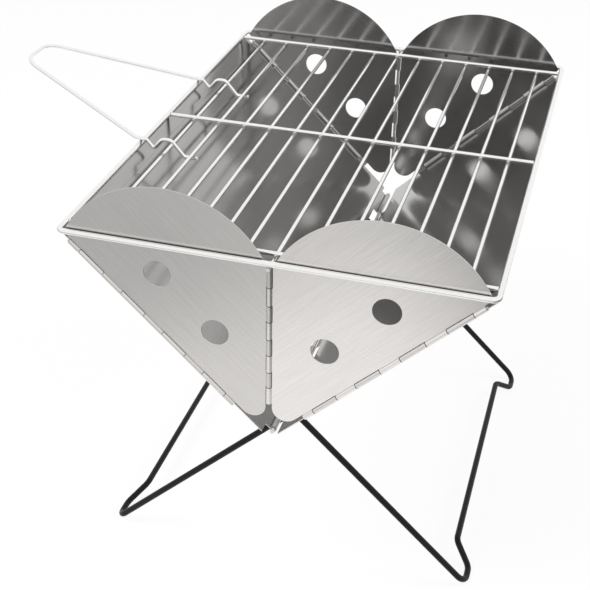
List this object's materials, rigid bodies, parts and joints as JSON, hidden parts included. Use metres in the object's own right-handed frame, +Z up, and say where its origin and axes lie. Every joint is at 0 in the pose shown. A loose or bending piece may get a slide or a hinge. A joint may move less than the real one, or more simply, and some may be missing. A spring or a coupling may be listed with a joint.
{
  "type": "folding fire pit",
  "caption": "Folding stainless fire pit: hinged V trough with round-eared ends, lift-off wire grate, wire lifter and crossed wire legs.",
  "frame": {"origin": "point on the floor below the middle of the trough", "axes": "+Z up, X across the trough, Y along it, the picture's front end at -Y"},
  "size_m": [0.3696, 0.37, 0.3049],
  "materials": {
    "panel_steel": "brushed",
    "hinge_pin": "polished",
    "clip_steel": "brushed",
    "grate_chrome": "bright plated",
    "lifter_chrome": "bright plated",
    "leg_wire": "satin black coating"
  },
  "bodies": {
    "left_wall": {"side_panel_left": "panel_steel", "leg_clips_left": "clip_steel", "ridge_pin": "hinge_pin", "slant_pin_front_left": "hinge_pin", "slant_pin_back_left": "hinge_pin"},
    "front_left": {"end_panel_front_left": "panel_steel", "seam_pin_front": "hinge_pin"},
    "front_right": {"end_panel_front_right": "panel_steel"},
    "right_wall": {"side_panel_right": "panel_steel", "leg_clips_right": "clip_steel", "slant_pin_front_right": "hinge_pin", "slant_pin_back_right": "hinge_pin"},
    "back_left": {"end_panel_back_left": "panel_steel", "seam_pin_back": "hinge_pin"},
    "back_right": {"end_panel_back_right": "panel_steel"},
    "grate": {"grate_frame": "grate_chrome", "grate_bar_front": "grate_chrome", "grate_bar_back": "grate_chrome", "grate_bar_middle": "grate_chrome", "grate_wires": "grate_chrome"},
    "lifter": {"lifter": "lifter_chrome"},
    "right_leg": {"leg_right": "leg_wire"},
    "left_leg": {"leg_left": "leg_wire"}
  },
  "joints": [
    {"name": "grate_lift", "type": "slide", "parent": "left_wall", "child": "grate", "axis": [0, 0, 1], "range_m": [0, 0.7]},
    {"name": "front_left_fold", "type": "hinge", "parent": "left_wall", "child": "front_left", "pos_m": [0, -0.1808, 0.13949], "axis": [-0.7193, 0, 0.6947], "range_deg": [0, 83.2]},
    {"name": "front_seam_fold", "type": "hinge", "parent": "front_left", "child": "front_right", "pos_m": [0, -0.1808, 0.13949], "axis": [0, 0, 1], "range_deg": [-160.5, 0]},
    {"name": "right_wall_fold", "type": "hinge", "parent": "front_right", "child": "right_wall", "pos_m": [0, -0.1808, 0.13949], "axis": [0.7193, 0, 0.6947], "range_deg": [0, 83.2]},
    {"name": "back_left_fold", "type": "hinge", "parent": "left_wall", "child": "back_left", "pos_m": [0, 0.1808, 0.13949], "axis": [-0.7193, 0, 0.6947], "range_deg": [-83.2, 0]},
    {"name": "back_right_fold", "type": "hinge", "parent": "right_wall", "child": "back_right", "pos_m": [0, 0.1808, 0.13949], "axis": [0.7193, 0, 0.6947], "range_deg": [0, 83.2]},
    {"name": "leg_right_swing", "type": "hinge", "parent": "left_wall", "child": "right_leg", "pos_m": [-0.03236, 0, 0.1578], "axis": [0, 1, 0], "range_deg": [0, 70]},
    {"name": "leg_left_swing", "type": "hinge", "parent": "right_wall", "child": "left_leg", "pos_m": [0.03236, 0, 0.1578], "axis": [0, 1, 0], "range_deg": [-175, 0]},
    {"name": "lifter_swing", "type": "hinge", "parent": "grate", "child": "lifter", "pos_m": [-0.11289, 0, 0.2649], "axis": [0, 1, 0], "range_deg": [0, 60]}
  ],
  "couplings": [
    {"joint": "front_left_fold", "follows": "grate_lift", "rad_per_m": 2.0742},
    {"joint": "front_seam_fold", "follows": "grate_lift", "rad_per_m": -4.0016},
    {"joint": "right_wall_fold", "follows": "grate_lift", "rad_per_m": 2.0742},
    {"joint": "back_left_fold", "follows": "grate_lift", "rad_per_m": -2.0742},
    {"joint": "back_right_fold", "follows": "grate_lift", "rad_per_m": 2.0742}
  ]
}
